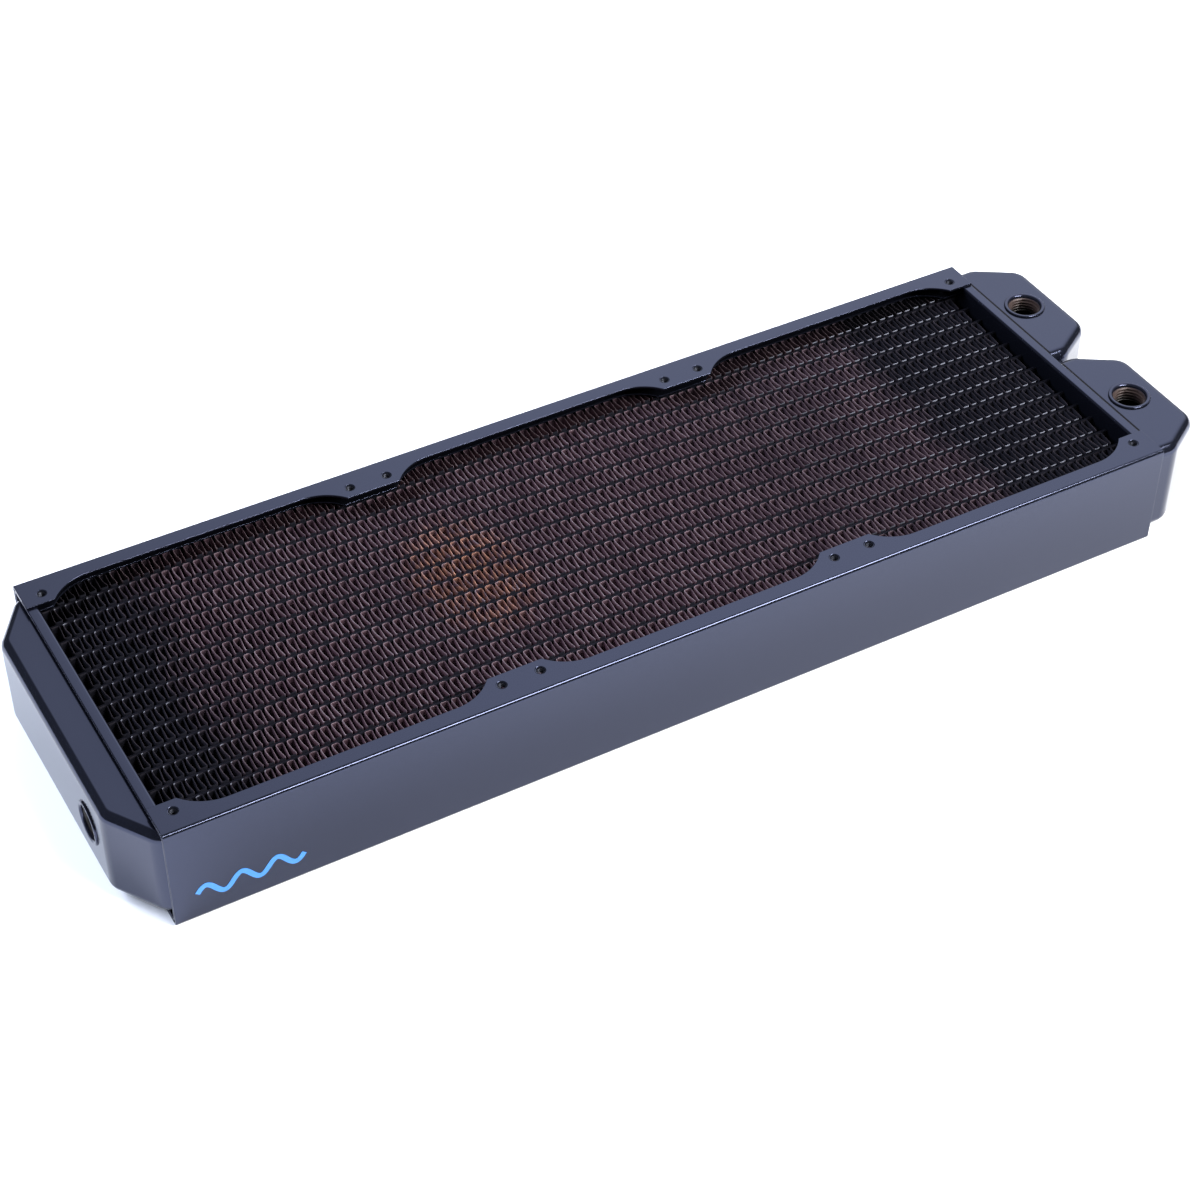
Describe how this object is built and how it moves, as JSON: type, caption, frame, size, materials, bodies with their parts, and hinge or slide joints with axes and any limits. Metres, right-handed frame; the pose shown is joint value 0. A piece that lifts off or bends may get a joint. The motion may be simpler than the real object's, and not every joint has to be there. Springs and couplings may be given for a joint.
{
  "type": "liquid cooling radiator",
  "caption": "Long flat water cooling radiator for computer fans: finned copper core in folded sheet sides, with a return tank at one end and separate inlet and outlet tanks at the other.",
  "frame": {"origin": "middle of the overall footprint, on the face of the lower fan flanges", "axes": "+X along the radiator towards the inlet and outlet tanks, +Z from the lower to the upper fan face, -Y towards the side panel with the printed mark"},
  "size_m": [0.462, 0.1441, 0.045],
  "materials": {
    "painted_body": "satin black paint with a blue-grey cast",
    "fin_copper": "copper foil, dusted black near the faces and bare reddish brown deeper in",
    "tube_copper": "copper tube under a thin satin black coat",
    "port_brass": "brass with a painted collar and a bare thread",
    "blue_print": "flat printed ink"
  },
  "bodies": {
    "root": {"side_panel_near": "painted_body", "side_panel_far": "painted_body", "core_side_plate_near": "painted_body", "core_side_plate_far": "painted_body", "header_connection_end": "painted_body", "header_return_end": "painted_body", "tank_divider": "painted_body", "inlet_tank": "painted_body", "outlet_tank": "painted_body", "return_tank": "painted_body", "fin_strip_01": "fin_copper", "fin_strip_02": "fin_copper", "fin_strip_03": "fin_copper", "fin_strip_04": "fin_copper", "fin_strip_05": "fin_copper", "fin_strip_06": "fin_copper", "fin_strip_07": "fin_copper", "fin_strip_08": "fin_copper", "fin_strip_09": "fin_copper", "fin_strip_10": "fin_copper", "fin_strip_11": "fin_copper", "fin_strip_12": "fin_copper", "fin_strip_13": "fin_copper", "fin_strip_14": "fin_copper", "fin_strip_15": "fin_copper", "flat_tube_01": "tube_copper", "flat_tube_02": "tube_copper", "flat_tube_03": "tube_copper", "flat_tube_04": "tube_copper", "flat_tube_05": "tube_copper", "flat_tube_06": "tube_copper", "flat_tube_07": "tube_copper", "flat_tube_08": "tube_copper", "flat_tube_09": "tube_copper", "flat_tube_10": "tube_copper", "flat_tube_11": "tube_copper", "flat_tube_12": "tube_copper", "flat_tube_13": "tube_copper", "flat_tube_14": "tube_copper", "inlet_port_top": "port_brass", "inlet_port_bottom": "port_brass", "inlet_port_end": "port_brass", "outlet_port_top": "port_brass", "outlet_port_bottom": "port_brass", "outlet_port_end": "port_brass", "return_port": "port_brass", "printed_mark": "blue_print"}
  },
  "joints": []
}
